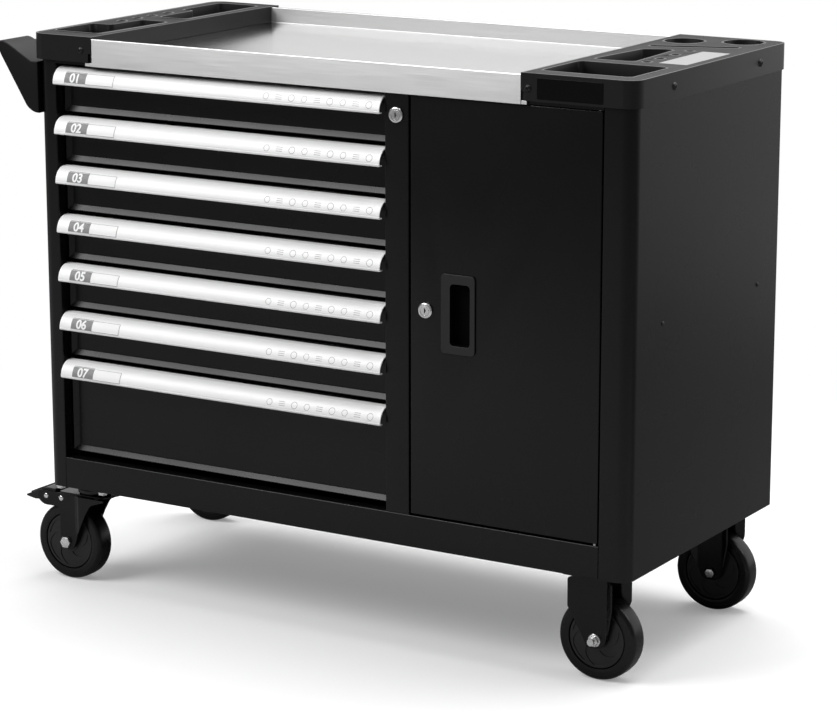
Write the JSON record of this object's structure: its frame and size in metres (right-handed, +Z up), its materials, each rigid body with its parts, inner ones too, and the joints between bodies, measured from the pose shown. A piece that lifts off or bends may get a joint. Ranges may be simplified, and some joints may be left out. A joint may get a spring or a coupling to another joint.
{
  "type": "tool cart",
  "caption": "Steel tool cart with full-width pulls on its drawers, a locking cupboard, a steel worktop between moulded end caps, a push handle and castors.",
  "frame": {"origin": "on the floor, under the middle of the bounding box", "axes": "+X to the right along the front, +Y towards the back, +Z up"},
  "size_m": [1.1088, 0.502, 0.883],
  "materials": {
    "powder_coat": "black powder coat, fine texture, semi-matt",
    "stainless": "brushed stainless sheet, grain along the front",
    "rail_steel": "plain zinc-plated slide steel",
    "satin_pull": "pale satin aluminium",
    "cap_plastic": "moulded black plastic with a fine grain",
    "tyre": "solid black rubber",
    "hub_plastic": "moulded black plastic",
    "zinc": "bright zinc plate",
    "chrome": "polished chrome plate",
    "board": "plain wood-fibre board"
  },
  "bodies": {
    "cabinet": {"left_side_panel": "powder_coat", "right_side_panel": "powder_coat", "back_panel": "powder_coat", "base_pan": "powder_coat", "bottom_front_rail": "powder_coat", "top_panel": "powder_coat", "centre_post": "powder_coat", "divider_panel": "powder_coat", "cupboard_shelf": "powder_coat", "handle_front_bracket": "powder_coat", "handle_rear_bracket": "powder_coat", "steel_worktop": "stainless", "worktop_board": "board", "left_slide_rack": "rail_steel", "right_slide_rack": "rail_steel", "left_end_cap": "cap_plastic", "right_end_cap": "cap_plastic", "handle_grip": "cap_plastic", "hinge_pin_top": "zinc", "hinge_pin_bottom": "zinc", "front_right_fork": "powder_coat", "front_right_axle": "zinc", "front_left_castor_plate": "powder_coat", "rear_right_fork": "powder_coat", "rear_right_axle": "zinc", "rear_left_castor_plate": "powder_coat"},
    "drawer_1_body": {"drawer_1": "powder_coat", "drawer_pull_1": "satin_pull"},
    "drawer_2_body": {"drawer_2": "powder_coat", "drawer_pull_2": "satin_pull"},
    "drawer_3_body": {"drawer_3": "powder_coat", "drawer_pull_3": "satin_pull"},
    "drawer_4_body": {"drawer_4": "powder_coat", "drawer_pull_4": "satin_pull"},
    "drawer_5_body": {"drawer_5": "powder_coat", "drawer_pull_5": "satin_pull"},
    "drawer_6_body": {"drawer_6": "powder_coat", "drawer_pull_6": "satin_pull"},
    "drawer_7_body": {"drawer_7": "powder_coat", "drawer_pull_7": "satin_pull"},
    "door": {"door_skin": "powder_coat", "door_inner_pan": "powder_coat", "door_recess_cup": "cap_plastic"},
    "door_lock_body": {"door_lock": "chrome"},
    "drawer_lock_body": {"drawer_lock": "chrome"},
    "lock_bar_body": {"lock_bar": "zinc"},
    "front_right_wheel": {"front_right_tyre": "tyre", "front_right_hub": "hub_plastic"},
    "front_left_swivel": {"front_left_fork": "powder_coat", "front_left_axle": "zinc"},
    "front_left_wheel": {"front_left_tyre": "tyre", "front_left_hub": "hub_plastic"},
    "front_left_pedal": {"front_left_brake_pedal": "zinc"},
    "rear_right_wheel": {"rear_right_tyre": "tyre", "rear_right_hub": "hub_plastic"},
    "rear_left_swivel": {"rear_left_fork": "powder_coat", "rear_left_axle": "zinc"},
    "rear_left_wheel": {"rear_left_tyre": "tyre", "rear_left_hub": "hub_plastic"},
    "rear_left_pedal": {"rear_left_brake_pedal": "zinc"}
  },
  "joints": [
    {"name": "drawer_1_slide", "type": "slide", "parent": "cabinet", "child": "drawer_1_body", "axis": [0, -1, 0], "range_m": [0, 0.34]},
    {"name": "drawer_2_slide", "type": "slide", "parent": "cabinet", "child": "drawer_2_body", "axis": [0, -1, 0], "range_m": [0, 0.34]},
    {"name": "drawer_3_slide", "type": "slide", "parent": "cabinet", "child": "drawer_3_body", "axis": [0, -1, 0], "range_m": [0, 0.34]},
    {"name": "drawer_4_slide", "type": "slide", "parent": "cabinet", "child": "drawer_4_body", "axis": [0, -1, 0], "range_m": [0, 0.34]},
    {"name": "drawer_5_slide", "type": "slide", "parent": "cabinet", "child": "drawer_5_body", "axis": [0, -1, 0], "range_m": [0, 0.34]},
    {"name": "drawer_6_slide", "type": "slide", "parent": "cabinet", "child": "drawer_6_body", "axis": [0, -1, 0], "range_m": [0, 0.34]},
    {"name": "drawer_7_slide", "type": "slide", "parent": "cabinet", "child": "drawer_7_body", "axis": [0, -1, 0], "range_m": [0, 0.34]},
    {"name": "door_hinge", "type": "hinge", "parent": "cabinet", "child": "door", "pos_m": [0.493, -0.236, 0.216], "axis": [0, 0, 1], "range_deg": [0, 110]},
    {"name": "door_lock_turn", "type": "hinge", "parent": "door", "child": "door_lock_body", "pos_m": [0.2147, -0.24, 0.5251], "axis": [0, 1, 0], "range_deg": [0, 90]},
    {"name": "drawer_lock_turn", "type": "hinge", "parent": "cabinet", "child": "drawer_lock_body", "pos_m": [0.1655, -0.24, 0.8063], "axis": [0, 1, 0], "range_deg": [0, 90]},
    {"name": "lock_bar_slide", "type": "slide", "parent": "cabinet", "child": "lock_bar_body", "axis": [0, 0, 1], "range_m": [0, 0.008]},
    {"name": "front_right_wheel_spin", "type": "hinge", "parent": "cabinet", "child": "front_right_wheel", "pos_m": [0.4825, -0.19, 0.0625], "axis": [0, 1, 0], "continuous": true},
    {"name": "front_left_swivel_turn", "type": "hinge", "parent": "cabinet", "child": "front_left_swivel", "pos_m": [-0.4305, -0.19, 0.15], "axis": [0, 0, 1], "continuous": true},
    {"name": "front_left_wheel_spin", "type": "hinge", "parent": "front_left_swivel", "child": "front_left_wheel", "pos_m": [-0.4725, -0.19, 0.0625], "axis": [0, 1, 0], "continuous": true},
    {"name": "front_left_pedal_press", "type": "hinge", "parent": "front_left_swivel", "child": "front_left_pedal", "pos_m": [-0.5115, -0.19, 0.134], "axis": [0, -1, 0], "range_deg": [0, 12]},
    {"name": "rear_right_wheel_spin", "type": "hinge", "parent": "cabinet", "child": "rear_right_wheel", "pos_m": [0.4825, 0.194, 0.0625], "axis": [0, 1, 0], "continuous": true},
    {"name": "rear_left_swivel_turn", "type": "hinge", "parent": "cabinet", "child": "rear_left_swivel", "pos_m": [-0.4305, 0.194, 0.15], "axis": [0, 0, 1], "continuous": true},
    {"name": "rear_left_wheel_spin", "type": "hinge", "parent": "rear_left_swivel", "child": "rear_left_wheel", "pos_m": [-0.4725, 0.194, 0.0625], "axis": [0, 1, 0], "continuous": true},
    {"name": "rear_left_pedal_press", "type": "hinge", "parent": "rear_left_swivel", "child": "rear_left_pedal", "pos_m": [-0.5115, 0.194, 0.134], "axis": [0, -1, 0], "range_deg": [0, 12]}
  ],
  "couplings": [
    {"joint": "drawer_lock_turn", "follows": "lock_bar_slide", "rad_per_m": 196.3}
  ]
}
